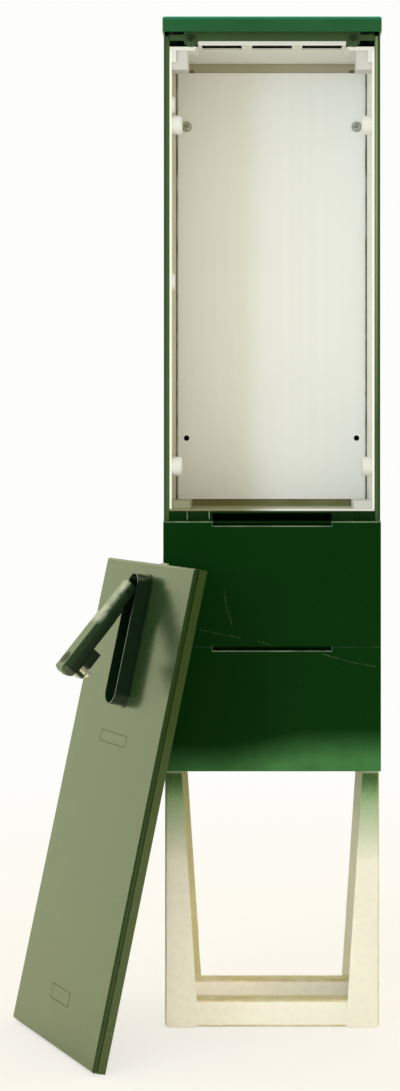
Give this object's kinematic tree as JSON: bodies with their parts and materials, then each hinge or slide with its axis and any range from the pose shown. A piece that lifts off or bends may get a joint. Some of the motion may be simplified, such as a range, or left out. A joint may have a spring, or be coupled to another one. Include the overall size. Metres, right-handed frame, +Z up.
{
  "type": "roadside utility cabinet",
  "caption": "Tall narrow roadside cable cabinet on a galvanised stand, open at the front, with its door and swing handle leaning on the plinth.",
  "frame": {"origin": "on the ground, at the centre of the four anchor holes of the stand", "axes": "+Z up, +X to the cabinet's right as seen from its front, front towards -Y"},
  "size_m": [0.4453, 0.3863, 1.2105],
  "materials": {
    "shell_paint": "satin",
    "door_paint": "semi-gloss",
    "handle_plastic": "satin",
    "frame_moulding": "matte",
    "plate_coating": "matte",
    "white_plastic": "satin",
    "zinc_steel": "satin",
    "galvanised_steel": "matte"
  },
  "bodies": {
    "cabinet": {"left_side_wall": "shell_paint", "right_side_wall": "shell_paint", "rear_wall": "shell_paint", "rear_rivets": "zinc_steel", "roof": "shell_paint", "top_rail": "shell_paint", "roof_brackets": "zinc_steel", "roof_screws": "zinc_steel", "sill": "shell_paint", "upper_plinth_panel": "shell_paint", "lower_plinth_panel": "shell_paint", "left_leg": "galvanised_steel", "right_leg": "galvanised_steel", "front_cross_bar": "galvanised_steel", "rear_cross_bar": "galvanised_steel", "leg_studs": "zinc_steel", "leg_nuts": "zinc_steel", "inner_left_rail": "frame_moulding", "inner_right_rail": "frame_moulding", "inner_top_rail": "frame_moulding", "inner_bottom_rail": "frame_moulding", "top_corner_blocks": "frame_moulding", "bottom_corner_blocks": "frame_moulding", "mounting_plate": "plate_coating", "plate_screws": "zinc_steel", "plate_washers": "zinc_steel", "retainer_knobs": "white_plastic", "edge_clips": "white_plastic", "door_panel": "door_paint", "handle_housing": "handle_plastic", "housing_clamps": "zinc_steel", "housing_screws": "zinc_steel"},
    "spindle": {"handle_spindle": "zinc_steel", "latch_cam": "zinc_steel", "cam_screw": "zinc_steel", "lever_pin": "zinc_steel"},
    "lever": {"handle_lever": "handle_plastic", "lock_cylinder": "zinc_steel"},
    "plug": {"lock_plug": "zinc_steel"}
  },
  "joints": [
    {"name": "spindle_turn", "type": "hinge", "parent": "cabinet", "child": "spindle", "pos_m": [-0.1461, -0.09242, 0.52021], "axis": [-0.8723, -0.4368, 0.2198], "range_deg": [0, 90]},
    {"name": "lever_swing", "type": "hinge", "parent": "spindle", "child": "lever", "pos_m": [-0.17349, -0.10614, 0.52711], "axis": [-0.4478, 0.8942, 0], "range_deg": [-28.5, 31.5]},
    {"name": "lock_turn", "type": "hinge", "parent": "lever", "child": "plug", "pos_m": [-0.23533, -0.13711, 0.44811], "axis": [-0.6728, -0.3369, 0.6587], "range_deg": [0, 90]}
  ]
}
